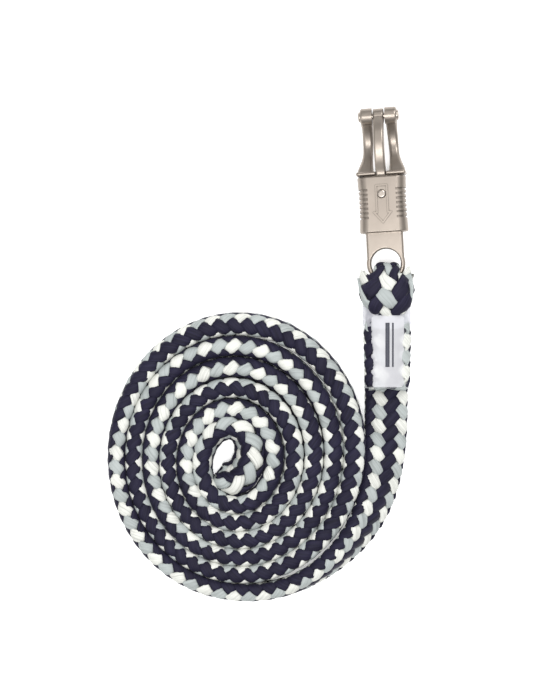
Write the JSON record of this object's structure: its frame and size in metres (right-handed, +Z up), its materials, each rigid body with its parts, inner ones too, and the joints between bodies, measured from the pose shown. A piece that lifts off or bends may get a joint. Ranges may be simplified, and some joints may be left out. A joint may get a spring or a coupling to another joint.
{
  "type": "lead rope",
  "caption": "Flat braided lead rope wound into a disc, spliced to a quick-release panic snap with a sliding sleeve and an opening jaw.",
  "frame": {"origin": "on the table, under the middle of the snap", "axes": "+Y along the snap from its eye to its jaw, +X to the right seen from above, +Z up from the table"},
  "size_m": [0.1815, 0.2818, 0.025],
  "materials": {
    "snap_metal": "satin nickel over a zinc casting",
    "lever_metal": "satin nickel over a zinc casting",
    "sleeve_metal": "satin nickel over a zinc casting",
    "pin_metal": "satin nickel-plated steel",
    "spring_steel": "bare spring wire",
    "rope": "multifilament braid, navy one way and white and grey the other",
    "thread": "polyester thread",
    "clear_film": "clear heat-shrink film",
    "label_film": "translucent white label"
  },
  "bodies": {
    "rope": {"rope_eye_loop": "rope", "rope_lead": "rope", "rope_coil": "rope", "splice_stitching": "thread", "shrink_sleeve": "clear_film", "splice_label": "label_film"},
    "snap_body": {"snap_frame": "snap_metal", "jaw_pivot_pin": "pin_metal", "return_spring": "spring_steel"},
    "sleeve": {"release_sleeve": "sleeve_metal", "sleeve_stud": "pin_metal"},
    "lever": {"jaw_lever": "lever_metal"}
  },
  "joints": [
    {"name": "eye_swing", "type": "hinge", "parent": "rope", "child": "snap_body", "pos_m": [0, -0.0496, 0.01198], "axis": [0.9903, 0, 0.1392], "range_deg": [-20, 20]},
    {"name": "sleeve_slide", "type": "slide", "parent": "snap_body", "child": "sleeve", "axis": [0, -1, 0], "range_m": [0, 0.0095], "stiffness_N_per_m": 400, "springref_m": -0.004, "deforming": ["return_spring"]},
    {"name": "jaw_pivot", "type": "hinge", "parent": "snap_body", "child": "lever", "pos_m": [0, 0.046, 0.01198], "axis": [-0.9903, 0, -0.1392], "range_deg": [0, 105]}
  ]
}
